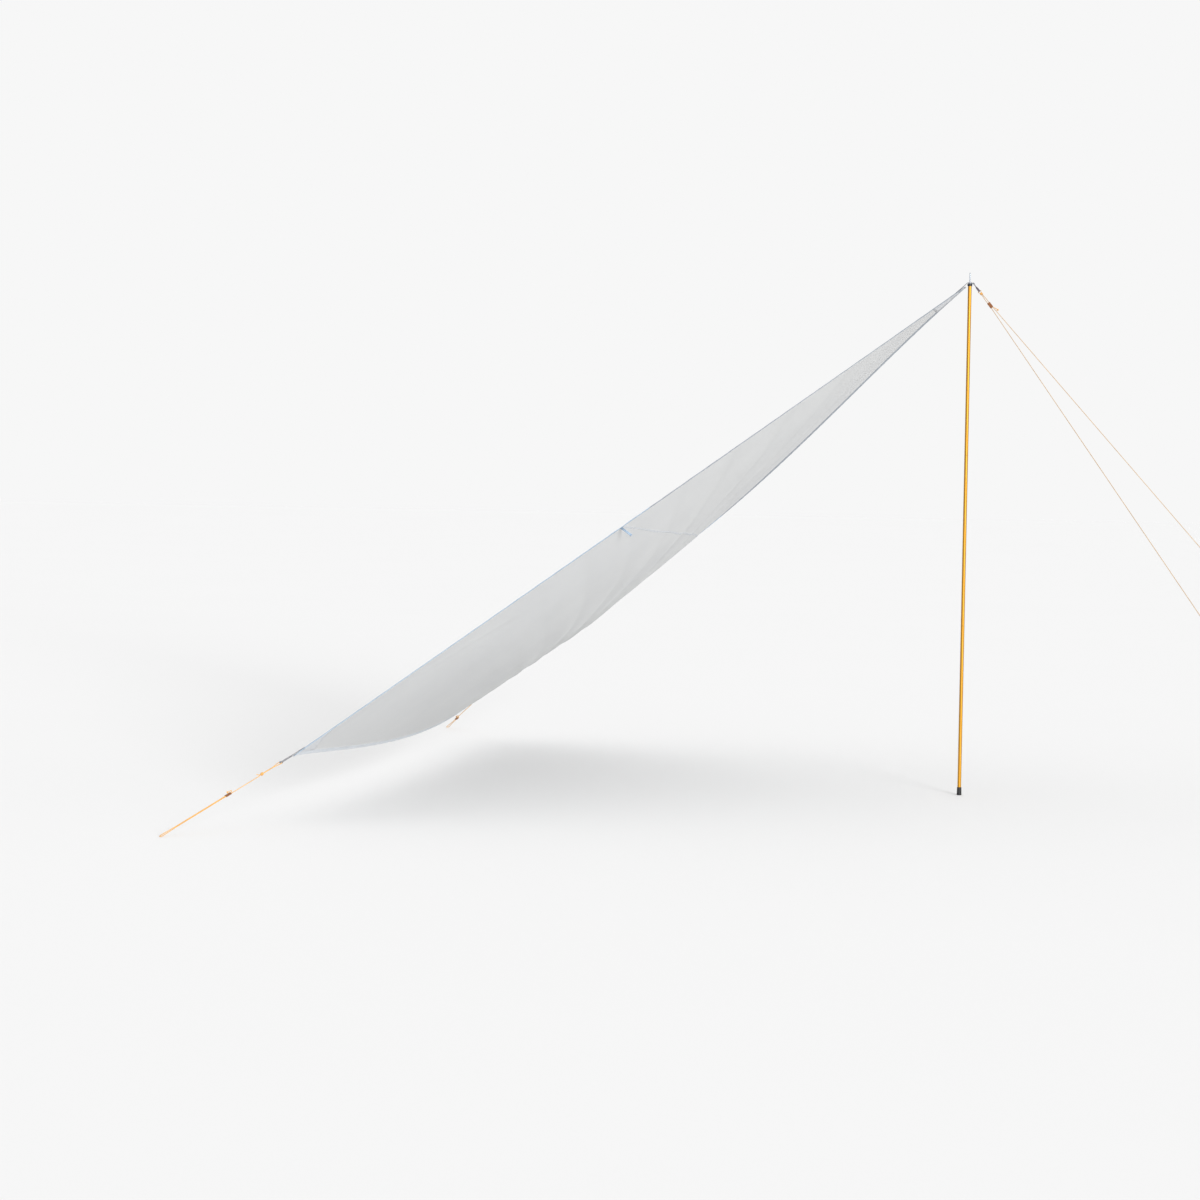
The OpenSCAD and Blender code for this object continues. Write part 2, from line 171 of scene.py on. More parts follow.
def moved(route, x0):
    return [(x + x0, y, z) for x, y, z in route]


def low_route(line, tensioner_at):
    return np.vstack([line.at(EYE), line.at(PEG_TURN, from_end=True), line.at(moved(TAIL, tensioner_at))])


def leg_route(fork, peg):
    start = fork_line.at(fork)
    return np.vstack([start, Line(start[-1], peg).at(LEG_LOOP, from_end=True)])


# ---- Nodes for materials ----


class Nodes:
    """A short way to write a material's nodes."""

    def __init__(self, name):
        self.material = bpy.data.materials.new(name)
        self.material.use_nodes = True
        self.tree = self.material.node_tree
        self.shader = self.tree.nodes["Principled BSDF"]
        self.output = self.tree.nodes["Material Output"]

    def put(self, socket, value):
        if isinstance(value, bpy.types.NodeSocket):
            self.tree.links.new(value, socket)
        else:
            socket.default_value = value

    def add(self, kind, inputs=None, **settings):
        node = self.tree.nodes.new(kind)
        for key, value in settings.items():
            setattr(node, key, value)
        for key, value in (inputs or {}).items():
            self.put(node.inputs[key], value)
        return node

    def set(self, **values):
        for key, value in values.items():
            self.put(self.shader.inputs[key.replace("_", " ")], value)

    def math(self, operation, a, b=0.0, c=0.0):
        return self.add("ShaderNodeMath", {0: a, 1: b, 2: c}, operation=operation).outputs[0]

    def place(self):
        """Where a point is, in metres, in the piece's own mesh."""
        return self.add("ShaderNodeTexCoord").outputs["Object"]

    def uv(self):
        """Metres round or across a piece, and metres along it."""
        parts = self.add("ShaderNodeSeparateXYZ", {0: self.add("ShaderNodeUVMap", uv_map="along").outputs[0]})
        return parts.outputs[0], parts.outputs[1]

    def scaled(self, vector, scale):
        return self.add("ShaderNodeMapping", {"Vector": vector, "Scale": scale}).outputs[0]

    def noise(self, vector, scale, detail=3.0, rough=0.5):
        given = {"Vector": vector, "Scale": scale, "Detail": detail, "Roughness": rough}
        return self.add("ShaderNodeTexNoise", given).outputs["Fac"]

    def ripple(self, along, pitch, phase=0.0):
        """A sine of the given pitch in metres, from 0 to 1."""
        turn = self.math("MULTIPLY_ADD", along, 2 * math.pi / pitch, phase)
        return self.math("MULTIPLY_ADD", self.math("SINE", turn), 0.5, 0.5)

    def spread(self, value, low, high, to_low=0.0, to_high=1.0):
        given = {0: value, 1: low, 2: high, 3: to_low, 4: to_high}
        return self.add("ShaderNodeMapRange", given).outputs[0]

    def mix(self, factor, a, b):
        return self.add("ShaderNodeMix", {0: factor, 6: a, 7: b}, data_type="RGBA").outputs[2]

    def bump(self, height, distance, strength=1.0, under=None):
        given = {"Height": height, "Distance": distance, "Strength": strength}
        if under is not None:
            given["Normal"] = under
        return self.add("ShaderNodeBump", given).outputs[0]


def rgb(r, g, b):
    """A colour given as it looks on a screen, from 0 to 255."""
    return tuple(((x / 255 + 0.055) / 1.055) ** 2.4 if x > 10 else x / 255 / 12.92 for x in (r, g, b)) + (1,)


# ---- Materials ----


def cloth_material():
    """Pale coated ripstop that lets some light through, with crossed reinforcing threads, and painted shade
    darkening the far corner's fold creases.
    """
    n = Nodes("canopy_cloth")
    across, along = n.uv()
    cell = 0.0055
    thread = n.math("MAXIMUM", n.ripple(across, cell), n.ripple(along, cell))
    ridge = n.spread(thread, 0.93, 1.0)
    weave = n.math("MULTIPLY", n.ripple(across, 0.0007), n.ripple(along, 0.0007))
    crease = n.noise(n.place(), 9.0, 4.0, 0.55)
    cloud = n.noise(n.place(), 1.6, 3.0)
    pale = n.mix(n.spread(cloud, 0.3, 0.7), rgb(210, 211, 212), rgb(216, 217, 217))
    # Painted shade: the cloth's colour is darkened towards grey along the far corner's fold creases, weighted
    # by the canopy's "crease" attribute.
    painted_crease_shade = n.add("ShaderNodeAttribute", attribute_name="crease").outputs["Fac"]
    wear_and_painted_shade = n.mix(n.math("MULTIPLY", painted_crease_shade, 0.55), pale, rgb(170, 172, 174))
    n.set(
        Base_Color=n.mix(n.math("MULTIPLY", ridge, 0.08), wear_and_painted_shade, rgb(190, 192, 196)),
        Roughness=n.spread(crease, 0.3, 0.7, 0.5, 0.62),
        Sheen_Weight=0.1,
        Sheen_Roughness=0.5,
        Specular_IOR_Level=0.35,
    )
    fine = n.bump(n.math("ADD", ridge, n.math("MULTIPLY", weave, 0.2)), 0.00003, 0.3)
    normal = n.bump(crease, 0.0015, 0.3, under=fine)
    n.set(Normal=normal)
    glow = n.add("ShaderNodeBsdfTranslucent", {"Color": rgb(206, 207, 206), "Normal": normal})
    both = n.add("ShaderNodeMixShader", {0: 0.22, 1: n.shader.outputs[0], 2: glow.outputs[0]})
    n.put(n.output.inputs["Surface"], both.outputs[0])
    return n.material


def stitches(n, across, along, rows, pitch=0.0032):
    """1 on the stitches of straight rows at the given places across a tape, 0 elsewhere."""
    dash = n.spread(n.ripple(along, pitch), 0.25, 0.4)
    found = 0.0
    for row in rows:
        off = n.math("ABSOLUTE", n.math("SUBTRACT", across, row))
        found = n.math("MAXIMUM", found, n.spread(off, 0.0003, 0.0006, 1.0, 0.0))
    return n.math("MULTIPLY", dash, found)


def tape_material(name, light, dark, rows, upper=None, change_at=0.0):
    """Ribbed woven tape with rows of stitches. Past change_at along it, it has the upper pair of colours."""
    n = Nodes(name)
    across, along = n.uv()
    rib = n.ripple(along, 0.0011)
    weave = n.math("MULTIPLY", rib, n.ripple(across, 0.0008))
    wear_and_painted_shade = n.spread(n.noise(n.place(), 60.0, 4.0), 0.35, 0.7)
    colour = n.mix(wear_and_painted_shade, light, dark)
    if upper:
        past = n.math("GREATER_THAN", along, change_at)
        colour = n.mix(past, colour, n.mix(wear_and_painted_shade, *upper))
    sewn = stitches(n, across, along, rows)
    n.set(
        Base_Color=n.mix(n.math("MULTIPLY", sewn, 0.6), colour, rgb(228, 230, 232)),
        Roughness=n.spread(wear_and_painted_shade, 0.0, 1.0, 0.62, 0.74),
        Sheen_Weight=0.15,
        Specular_IOR_Level=0.3,
    )
    grain = n.bump(weave, 0.00015, 0.7)
    n.set(Normal=n.bump(sewn, 0.0004, 0.8, under=grain))
    return n.material


def cord_material(name, light, dark, fleck):
    """A braid: strands cross both ways round the cord, with tracer flecks."""
    n = Nodes(name)
    around, along = n.uv()
    lean = n.math("MULTIPLY", around, 0.9)
    one = n.ripple(n.math("ADD", along, lean), 0.0021)
    other = n.ripple(n.math("SUBTRACT", along, lean), 0.0021)
    braid = n.math("MAXIMUM", one, other)
    tracer = n.spread(n.ripple(n.math("ADD", along, lean), 0.0126), 0.9, 0.97)
    dirt = n.spread(n.noise(n.place(), 35.0, 4.0), 0.35, 0.7)
    base = n.mix(n.spread(braid, 0.55, 1.0), dark, n.mix(dirt, light, dark))
    n.set(
        Base_Color=n.mix(n.math("MULTIPLY", tracer, n.spread(braid, 0.6, 0.9)), base, fleck),
        Roughness=n.spread(dirt, 0.0, 1.0, 0.7, 0.85),
        Sheen_Weight=0.2,
        Specular_IOR_Level=0.25,
        Normal=n.bump(braid, 0.0003, 0.9),
    )
    return n.material


def gold_material():
    """Gold anodised tube, drawn along its length, with faint scuffs."""
    n = Nodes("anodised_tube")
    drawn = n.noise(n.scaled(n.place(), (900, 900, 4)), 1.0, 3.0)
    scuff = n.spread(n.noise(n.place(), 22.0, 5.0, 0.6), 0.56, 0.72)
    colour = n.mix(n.spread(drawn, 0.3, 0.7), rgb(178, 128, 40), rgb(192, 142, 50))
    n.set(
        Base_Color=n.mix(n.math("MULTIPLY", scuff, 0.25), colour, rgb(180, 134, 62)),
        Metallic=0.85,
        Roughness=n.spread(drawn, 0.2, 0.8, 0.38, 0.48),
        Normal=n.bump(drawn, 0.00003, 0.5),
    )
    return n.material


def metal_material(name, colour, grain_scale):
    """Bare satin metal with a fine grain and finger marks."""
    n = Nodes(name)
    grain = n.noise(n.place(), grain_scale, 4.0)
    mark = n.spread(n.noise(n.place(), 90.0, 3.0), 0.4, 0.7)
    n.set(
        Base_Color=n.mix(n.math("MULTIPLY", mark, 0.3), colour, rgb(120, 122, 126)),
        Metallic=0.9,
        Roughness=n.spread(mark, 0.0, 1.0, 0.28, 0.45),
        Normal=n.bump(grain, 0.00002, 0.5),
    )
    return n.material


def moulded_material(name, dark, light, rough_low, rough_high, grain=1400.0):
    """Moulded rubber or plastic: a fine texture, dusty where it is rubbed."""
    n = Nodes(name)
    skin = n.noise(n.place(), grain, 2.0)
    dust = n.spread(n.noise(n.place(), 120.0, 5.0, 0.6), 0.45, 0.75)
    n.set(
        Base_Color=n.mix(n.math("MULTIPLY", dust, 0.5), dark, light),
        Roughness=n.spread(dust, 0.0, 1.0, rough_low, rough_high),
        Specular_IOR_Level=0.4,
        Normal=n.bump(skin, 0.00005, 0.6),
    )
    return n.material


FLOOR_TONE = 234


def grey(level):
    return rgb(level, level, level)


def floor_material():
    """Plain and pale, a shade uneven."""
    n = Nodes("studio_floor")
    n.set(
        Base_Color=n.mix(n.noise(n.place(), 0.5, 2.0), grey(FLOOR_TONE), grey(FLOOR_TONE + 1)),
        Roughness=0.9,
        Specular_IOR_Level=0.05,
    )
    return n.material


HEM_ROWS = (0.0042, 0.0155)
cloth = cloth_material()
seam_tape = tape_material("seam_tape", rgb(188, 191, 195), rgb(178, 182, 187), (0.0015, 0.0085))
hem_tape = tape_material(
    "hem_binding", rgb(150, 170, 187), rgb(136, 157, 176), HEM_ROWS,
    upper=(rgb(138, 145, 154), rgb(122, 130, 140)), change_at=1.85,
)
low_hem_tape = tape_material("low_hem_binding", rgb(190, 195, 200), rgb(178, 184, 190), HEM_ROWS)
patch_cloth = tape_material("patch_cloth", rgb(192, 194, 197), rgb(182, 185, 189), (0.003, 0.0065))
loop_tape = tape_material("edge_loop_tape", rgb(142, 162, 182), rgb(130, 150, 170), (0.0015, 0.0085))
grey_webbing = tape_material("webbing", rgb(138, 137, 141), rgb(112, 111, 115), (0.0016, 0.0104))
guy_webbing = tape_material("guy_webbing", rgb(96, 86, 98), rgb(74, 66, 76), (0.0014, 0.0076))
low_cord = cord_material("guy_cord", rgb(240, 188, 104), rgb(206, 152, 76), rgb(170, 140, 98))
leg_cord = cord_material("leg_cord", rgb(212, 184, 146), rgb(178, 148, 112), rgb(146, 130, 114))
stretch_cord = cord_material("elastic_cord", rgb(226, 226, 222), rgb(196, 196, 190), rgb(40, 40, 42))
gold = gold_material()
bare_metal = metal_material("bare_aluminium", rgb(198, 200, 204), 2500.0)
steel = metal_material("steel", rgb(150, 157, 166), 3500.0)
rubber = moulded_material("black_rubber", rgb(28, 28, 30), rgb(70, 68, 66), 0.62, 0.8)
black_plastic = moulded_material("black_plastic", rgb(26, 26, 28), rgb(58, 58, 60), 0.4, 0.55)
slider_plastic = moulded_material("tensioner_plastic", rgb(124, 76, 40), rgb(158, 112, 72), 0.42, 0.6)

# ---- CAD nodes that stay ----

KEPT = {
    "foot_cap": rubber,
    "lower_tube": gold,
    "middle_tube": gold,
    "upper_tube": gold,
    "lower_ferrule": bare_metal,
    "upper_ferrule": bare_metal,
    "shock_anchor": black_plastic,
    "top_plug": black_plastic,
    "spike": steel,
    "spike_link": steel,
    "peak_grommet": steel,
    "peak_tensioner": slider_plastic,
    "near_tensioner": slider_plastic,
    "far_tensioner": slider_plastic,
}
ROUNDED = {
    "spike_link": 0.5 * MM,
    "peak_grommet": 0.2 * MM,
    "peak_tensioner": 0.5 * MM,
    "near_tensioner": 0.5 * MM,
    "far_tensioner": 0.5 * MM,
}

for node, material in KEPT.items():
    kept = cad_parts[node]
    for kept_slot in kept.material_slots:
        kept_slot.material = material

for node, radius in ROUNDED.items():
    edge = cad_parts[node].modifiers.new("rounded", "BEVEL")
    edge.width = radius
    edge.segments = 3
    edge.limit_method = "ANGLE"
    edge.angle_limit = math.radians(35)

# ---- Mesh making ----


def piece(name, points, faces, material, uvs=None, smooth=True):
    """A mesh object. uvs holds, for each face, a pair of metres for each of its corners."""
    mesh = bpy.data.meshes.new(name)
    mesh.from_pydata(np.asarray(points, float).tolist(), [], faces)
    if uvs is not None:
        layer = mesh.uv_layers.new(name="along")
        layer.data.foreach_set("uv", np.array([pair for face in uvs for pair in face], np.float32).ravel())
    mesh.materials.append(material)
    mesh.update()
    if smooth:
        mesh.shade_smooth()
    obj = bpy.data.objects.new(name, mesh)
    bpy.context.scene.collection.objects.link(obj)
    return obj


def unit(v):
    return v / np.linalg.norm(v, axis=-1, keepdims=True)


def eased(route, reach=0.012, steps=6):
    """The route with its corners rounded: straight runs stay straight."""
    path = [route[0]]
    for before, corner, after in zip(route, route[1:], route[2:]):
        back = corner - before
        on = after - corner
        a = corner - back * min(0.45, reach / np.linalg.norm(back))
        b = corner + on * min(0.45, reach / np.linalg.norm(on))
        for t in np.linspace(0, 1, steps):
            path.append(a * (1 - t) ** 2 + corner * 2 * t * (1 - t) + b * t * t)
    path.append(route[-1])
    return np.array(path)


def frames_along(path):
    """Two directions across the path at each of its points, with no twist between them."""
    way = unit(np.gradient(path, axis=0))
    first = np.cross(way[0], (0.3, 0.2, 1.0))
    sides = [first / np.linalg.norm(first)]
    for w in way[1:]:
        s = sides[-1] - w * np.dot(sides[-1], w)
        sides.append(s / np.linalg.norm(s))
    sides = np.array(sides)
    return sides, np.cross(way, sides)


def sweep(name, path, section, material, across=None):
    """A closed outline, given as pairs along the two across directions, carried along a path."""
    across = frames_along(path) if across is None else across
    section = np.asarray(section, float)
    rings = len(path)
    count = len(section)
    points = (
        path[:, None, :]
        + section[None, :, 0, None] * across[0][:, None, :]
        + section[None, :, 1, None] * across[1][:, None, :]
    ).reshape(-1, 3)
    steps = np.linalg.norm(np.diff(path, axis=0), axis=1)
    far = np.concatenate([[0], np.cumsum(steps)])
    edges = np.linalg.norm(np.roll(section, -1, axis=0) - section, axis=1)
    round_it = np.concatenate([[0], np.cumsum(edges)])
    faces = []
    uvs = []
    for i in range(rings - 1):
        for k in range(count):
            k2 = (k + 1) % count
            faces.append((i * count + k, i * count + k2, (i + 1) * count + k2, (i + 1) * count + k))
            a, b = round_it[k], round_it[k + 1]
            uvs.append(((a, far[i]), (b, far[i]), (b, far[i + 1]), (a, far[i + 1])))
    for i, order in ((0, -1), (rings - 1, 1)):
        faces.append(tuple(i * count + k for k in range(count))[::order])
        uvs.append([(x + edges.sum(), y + far[i]) for x, y in section[::order]])
    return piece(name, points, faces, material, uvs)


def round_section(radius, sides=10):
    turn = np.linspace(0, 2 * math.pi, sides, endpoint=False)
    return np.stack([np.cos(turn), np.sin(turn)], axis=1) * radius


def cord_piece(name, path, material, diameter=CORD_D):
    return sweep(name, path, round_section(diameter / 2), material)


def helix(line, centre, turns, radius, pitch):
    """A winding round a line at centre millimetres."""
    count = int(turns * 14)
    t = np.linspace(0, 1, count + 1)
    angle = 2 * math.pi * turns * t
    x = centre + (t - 0.5) * pitch * turns
    route = [(xi, radius * math.cos(a), radius * math.sin(a)) for xi, a in zip(x, angle)]
    return line.at(route)


# ---- The canopy's surface ----

FALL = math.hypot(CORNER_X, APEX_Z - CORNER_Z)
SIDE_EDGE = math.hypot(FALL, CORNER_Y)
UPWARD = np.array([CORNER_Z - APEX_Z, 0, CORNER_X]) / FALL
U_PEAK = 0.026 / FALL
FAR_SAG = 0.082
LOW_SAG = 0.094
BELLY = 0.100
EDGE_CURL = 0.0042
CURL_WIDTH = 0.022
FAR_FOLDS = 0.016
NEAR_FOLDS = 0.0035
LOW_FOLDS = 0.0016
PEAK_FOLDS = 0.0012
BROAD_WAVES = 0.0045
LOW_START = 1.3
LOW_END = 1.25
LOW_PEAK = LOW_START / (LOW_START + LOW_END)


def low_shape(v):
    return v**LOW_START * (1 - v) ** LOW_END


def sag(u, v):
    """How far the pitched cloth hangs off the plane through its three corners."""
    far = FAR_SAG * np.maximum(np.sin(np.pi * u), 0) ** 1.7 * v**3.5
    low = LOW_SAG * low_shape(v) / low_shape(LOW_PEAK) * u**2.6
    middle = BELLY * 27 * (1 - u) * u * u * v * (1 - v)
    return far + low + middle


def seam_u(v):
    """The seam bows a little up the cloth in its middle."""
    return 0.541 - 0.09 * v * (1 - v) + 0.014 * v * v


def fan(s, t, corner, towards, pitch, reach, spread):
    """Folds that radiate from a corner, from its edge with another corner over an angle of the cloth.

    Gives their height, and a line along each crease.

    pitch and spread are angles, reach is the distance over which the folds fade.
    """
    ds = s - corner[0]
    dt = t - corner[1]
    r = np.hypot(ds, dt) + 1e-6
    heading = math.atan2(towards[1] - corner[1], towards[0] - corner[0])
    off = np.abs((np.arctan2(dt, ds) - heading + np.pi) % (2 * np.pi) - np.pi)
    phase = 2 * np.pi * off / pitch + 1.1 * np.sin(7 * off + corner[1]) + 0.7 * np.sin(2.3 * r + 5 * off)
    ridge = 1.6 - 2.4 * np.sqrt(0.04 + 0.96 * np.sin(phase / 2) ** 2) + 0.3 * np.sin(1.7 * phase + 1.2)
    fade = np.exp(-((off / spread) ** 4)) * r / (r + 0.3) * np.exp(-((r / reach) ** 2))
    line = np.clip(1 - np.abs(np.sin(phase / 2)) / 0.45, 0, 1)
    return ridge * fade, line * fade


def far_creases(s, t):
    """The sharp folds that fan out of the far corner: their height, and 0 to 1 on their creases, where the
    cloth material paints shade.
    """
    return fan(s, t, (FALL, CORNER_Y), (0.0, 0.0), 0.088, 2.3, 0.66)


def unrest(s, t):
    """Folds and unevenness of the cloth, in metres off the sagged surface."""
    apex = (0.0, 0.0)
    near = (FALL, -CORNER_Y)
    far = (FALL, CORNER_Y)
    half = np.maximum(s, 1e-6) * CORNER_Y / FALL
    in_near = (half + t) * FALL / SIDE_EDGE
    in_far = (half - t) * FALL / SIDE_EDGE
    in_low = FALL - s
    inside = np.minimum(np.minimum(in_near, in_far), in_low)
    calm = np.clip(inside / 0.35, 0, 1) ** 1.5
    folds = FAR_FOLDS * far_creases(s, t)[0]
    folds += NEAR_FOLDS * fan(s, t, near, apex, 0.10, 1.1, 0.30)[0]
    folds += LOW_FOLDS * fan(s, t, near, far, 0.10, 0.9, 0.35)[0]
    folds += PEAK_FOLDS * fan(s, t, apex, far, 0.17, 2.2, 0.32)[0]
    broad = (
        np.sin(4.1 * s + 1.7 * t + 0.6) * np.sin(2.3 * t - 1.1 * s + 1.9)
        + 0.6 * np.sin(7.3 * s - 3.9 * t + 2.2) * np.sin(4.7 * t + 2.1 * s)
        + 0.35 * np.sin(13.0 * s + 6.0 * t) * np.sin(9.0 * t - 5.0 * s + 0.7)
    )
    seam_off = np.abs(s - FALL * seam_u(np.clip((t / half + 1) / 2, 0, 1)))
    puckers = 0.0008 * np.sin(2 * np.pi * t / 0.052 + 1.5 * np.sin(9 * t)) * np.exp(-seam_off / 0.035)
    rim = np.exp(-np.maximum(inside, 0) / 0.03)
    puckers += 0.0004 * rim * np.sin(2 * np.pi * (s + 0.6 * t) / 0.06 + 1.2 * np.sin(7 * s))
    curl = EDGE_CURL * np.clip(1 - np.maximum(inside, 0) / CURL_WIDTH, 0, 1) ** 2
    from_edges = np.clip(in_near / 0.12, 0, 1) * np.clip(in_far / 0.10, 0, 1)
    from_edges = from_edges * np.clip(in_low / 0.05, 0, 1)
    return folds * from_edges + BROAD_WAVES * calm * broad + puckers - curl


def on_cloth(s, t, off=0.0):
    """A point on the cloth, s down its plane from the apex and t across it, raised by off."""
    s = np.asarray(s, float)
    t = np.asarray(t, float)
    u = np.clip(s / FALL, 1e-6, 1)
    v = np.clip((t / (u * CORNER_Y) + 1) / 2, 0, 1)
    rise = off - sag(u, v) + unrest(s, t)
    flat = np.stack([-CORNER_X * s / FALL, t, APEX_Z + (CORNER_Z - APEX_Z) * s / FALL], axis=-1)
    return flat + UPWARD * rise[..., None]


def slab(name, s, t, low, high, material):
    """A closed sheet over a grid of s and t, from low to high off the cloth, with UVs in metres."""
    rows, columns = s.shape
    top = on_cloth(s, t, high).reshape(-1, 3)
    bottom = on_cloth(s, t, low).reshape(-1, 3)
    size = rows * columns
    flat_s = s.ravel()
    flat_t = t.ravel()
    grid = np.arange(size).reshape(rows, columns)
    quads = np.stack([grid[:-1, :-1], grid[:-1, 1:], grid[1:, 1:], grid[1:, :-1]], axis=-1).reshape(-1, 4)
    rim = np.concatenate([grid[0, :-1], grid[:-1, -1], grid[-1, :0:-1], grid[:0:-1, 0]])
    after = np.roll(rim, -1)
    walls = np.stack([rim, rim + size, after + size, after], axis=-1)
    faces = np.concatenate([quads, quads[:, ::-1] + size, walls])
    uvs = np.stack([flat_t[faces % size], flat_s[faces % size]], axis=-1)
    return piece(name, np.concatenate([top, bottom]), faces.tolist(), material, uvs)


def follow_peak(obj):
    """Bakes the placing of the cloth or a piece sewn to it into its mesh."""
    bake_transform(obj)
    return obj


CLOTH_HALF = 0.4 * MM
PATCH_UNDER = -1.15 * MM
PATCH_REACH = 0.2
PEAK_PATCH_LONG = 0.17


def canopy():
    """One continuous sheet from the peak strap to the low hem."""
    rows = 216
    columns = 176
    u = np.linspace(U_PEAK, 1 - 0.002 / FALL, rows)
    v = 1 - (1 - np.linspace(0, 1, columns)) ** 1.4
    s = np.repeat(u[:, None], columns, axis=1) * FALL
    t = CORNER_Y * u[:, None] * (2 * v[None, :] - 1) * 0.9995
    sheet = slab("canopy", s, t, -CLOTH_HALF, CLOTH_HALF, cloth)
    # The creases of the far corner's folds, stored as the "crease" attribute, which the cloth material uses
    # to paint shade into them.
    creases = far_creases(s, t)[1].ravel()
    painted_shade_weights = sheet.data.attributes.new("crease", "FLOAT", "POINT")
    painted_shade_weights.data.foreach_set("value", np.concatenate([creases, creases]).astype(np.float32))
    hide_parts("upper_panel", "lower_panel")
    return sheet


def hem(name, start, end, inward, material, width=0.018):
    """Binding tape folded round an edge, from start to end in the cloth's plane."""
    start = np.array(start)
    end = np.array(end)
    inward = np.array(inward)
    length = float(np.linalg.norm(end - start))
    count = int(length / 0.02)
    e = np.linspace(0, 1, count + 1)
    line = start + (end - start) * e[:, None]
    fold = 1.25 * MM
    arc = np.linspace(math.pi / 2, 3 * math.pi / 2, 7)
    upper = [
        (width, 0.5 * MM), (width - 0.4 * MM, 1.05 * MM),
        (width * 0.6, 1.15 * MM), (width * 0.25, 1.2 * MM),
    ]
    section = upper + [(fold * math.cos(a), fold * math.sin(a)) for a in arc]
    section += [(a, -h) for a, h in upper[::-1]]
    room = np.minimum(1, line[:, :1] * CORNER_Y / SIDE_EDGE / width * 0.9)
    rings = []
    for a, h in section:
        at = line + inward * max(a, 0.0) * room
        raised = on_cloth(at[:, 0], at[:, 1], h)
        if a < 0:
            probe = line + inward * 0.004
            into = unit(on_cloth(probe[:, 0], probe[:, 1]) - on_cloth(line[:, 0], line[:, 1]))
            raised = raised + into * a
        rings.append(raised)
    points = np.stack(rings, axis=1).reshape(-1, 3)
    size = len(section)
    reach = [abs(a) for a, h in section]
    faces = []
    uvs = []
    for i in range(count):
        for k in range(size):
            k2 = (k + 1) % size
            faces.append((i * size + k, (i + 1) * size + k, (i + 1) * size + k2, i * size + k2))
            y0, y1 = e[i] * length, e[i + 1] * length
            uvs.append(((reach[k], y0), (reach[k], y1), (reach[k2], y1), (reach[k2], y0)))
    for i, order in ((0, 1), (count, -1)):
        faces.append(tuple(i * size + k for k in range(size))[::order])
        uvs.append([(reach[k], e[i] * length) for k in range(size)][::order])
    tape = piece(name, points, faces, material, uvs)
    return tape


def make_hems():
    apex = np.array([0.0, 0.0])
    near = np.array([FALL, -CORNER_Y])
    far = np.array([FALL, CORNER_Y])
    peak_near = apex + (near - apex) * U_PEAK
    peak_far = apex + (far - apex) * U_PEAK
    down = (near - apex) / SIDE_EDGE
    in_near = np.array([-down[1], down[0]])
    in_far = np.array([in_near[0], -in_near[1]])
    tapes = [
        hem("near_hem_tape", near, peak_near, in_near, hem_tape),
        hem("far_hem_tape", far, peak_far, in_far, hem_tape),
        hem("low_hem_tape", near + (0, 0.012), far - (0, 0.012), (-1.0, 0.0), low_hem_tape),
    ]
    for tape, node in zip(tapes, ("near_hem", "far_hem", "low_hem")):
        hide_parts(node)
    return tapes


def seam():
    """The flat seam between the two panels: a folded strip on each face."""
    half = 5 * MM
    v = np.linspace(0, 1, 180)[None, :]
    off = half * np.array([-1.0, -0.8, 0.8, 1.0])[:, None]
    s = FALL * seam_u(v) + off
    t = s / FALL * CORNER_Y * (2 * v - 1) * 0.99
    strip = slab("seam_tape", s, t, -0.65 * MM, 0.65 * MM, seam_tape)
    for polygon in strip.data.polygons:
        for k in polygon.loop_indices:
            pair = strip.data.uv_layers["along"].data[k].uv
            place = (pair[0] * FALL / (pair[1] * CORNER_Y) + 1) / 2
            pair[:] = (pair[1] - FALL * seam_u(place) + half, pair[0])
    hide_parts("panel_seam")
    return strip


def corner_patch(name, node, corner, first, second, radius, rings=16, spokes=22):
    """A patch on the underside, from one edge's direction to the other's, with a hollowed inner edge."""
    corner = np.array(corner)
    turn = np.linspace(0, 1, spokes)
    ways = unit((1 - turn)[:, None] * np.array(first) + turn[:, None] * np.array(second))
    reach = radius * (1 - 0.26 * np.sin(np.pi * turn))
    r = np.linspace(0.03, 1, rings)[:, None] * reach[None, :]
    at = corner + ways[None, :, :] * r[:, :, None]
    patch = slab(name, at[..., 0], at[..., 1], PATCH_UNDER, -CLOTH_HALF * 0.5, patch_cloth)
    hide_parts(node)
    return patch


def make_patches():
    apex = np.array([0.0, 0.0])
    near = np.array([FALL, -CORNER_Y])
    far = np.array([FALL, CORNER_Y])
    inset = 16 * MM
    up_near = unit(apex - near)
    up_far = unit(apex - far)
    patches = [
        corner_patch(
            "near_corner_patch", "near_patch", near + (-inset, inset * 1.6), (0.0, 1.0), up_near, PATCH_REACH
        ),
        corner_patch(
            "far_corner_patch", "far_patch", far + (-inset, -inset * 1.6), (0.0, -1.0), up_far, PATCH_REACH
        ),
    ]
    at = U_PEAK * FALL
    s = np.linspace(at, at + PEAK_PATCH_LONG, 14)[:, None] * np.ones((1, 9))
    t = s / FALL * CORNER_Y * np.linspace(-0.95, 0.95, 9)[None, :]
    peak = slab("peak_corner_patch", s, t, PATCH_UNDER, -CLOTH_HALF * 0.5, patch_cloth)
    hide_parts("peak_patch")
    patches.append(peak)
    return patches


# ---- Webbing ----


def ribbon(name, path, wide, width, thickness, material):
    """Flat webbing with rounded selvedges: wide gives the direction of its width at each point."""
    way = unit(np.gradient(path, axis=0))
    wide = unit(wide - way * np.sum(wide * way, axis=1, keepdims=True))
    up = np.cross(way, wide)
    half = width / 2
    edge = thickness / 2
    arc = np.linspace(-math.pi / 2, math.pi / 2, 5)
    right = [(half - edge + edge * math.cos(a), edge * math.sin(a)) for a in arc]
    left = [(-x, -y) for x, y in right]
    strap = sweep(name, path, right + left, material, across=(wide, up))
    return strap


